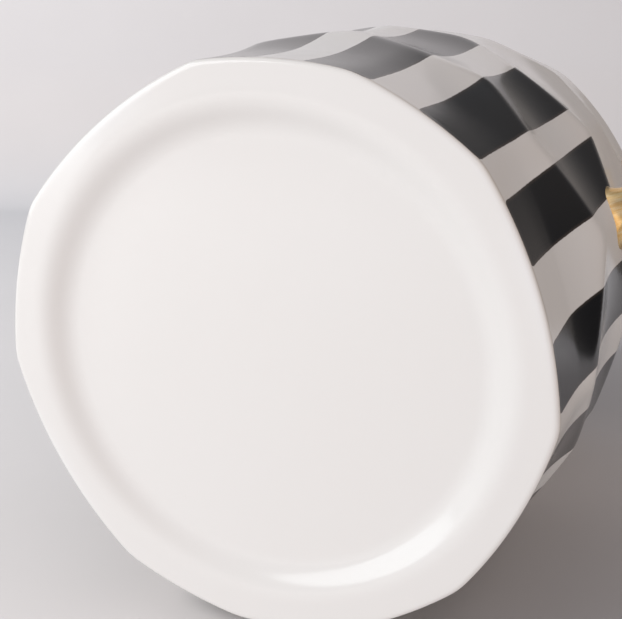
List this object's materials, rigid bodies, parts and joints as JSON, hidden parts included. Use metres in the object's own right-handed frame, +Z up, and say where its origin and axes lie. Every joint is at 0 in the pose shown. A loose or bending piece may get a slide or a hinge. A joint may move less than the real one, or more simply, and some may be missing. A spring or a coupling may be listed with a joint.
{
  "type": "ceramic mug",
  "caption": "Stoneware mug with soft facets pressed into a barrel-shaped wall, a recessed foot, dark upright stripes on its lower half and a small gilt loop handle on its upper half.",
  "frame": {"origin": "middle of the ground that the mug covers, handle included, on the plane that the foot ring stands on", "axes": "+Z up the body from the foot to the lip, +X towards the handle, +Y across the handle"},
  "size_m": [0.1106, 0.0844, 0.102],
  "materials": {
    "glaze": "glossy white glaze, with near-black glossy upright stripes over the lower part of the wall",
    "lustre": "gold lustre fired over the glaze"
  },
  "bodies": {
    "root": {"body": "glaze", "handle": "lustre", "lower_slip_joint": "lustre", "upper_slip_joint": "lustre"}
  },
  "joints": []
}
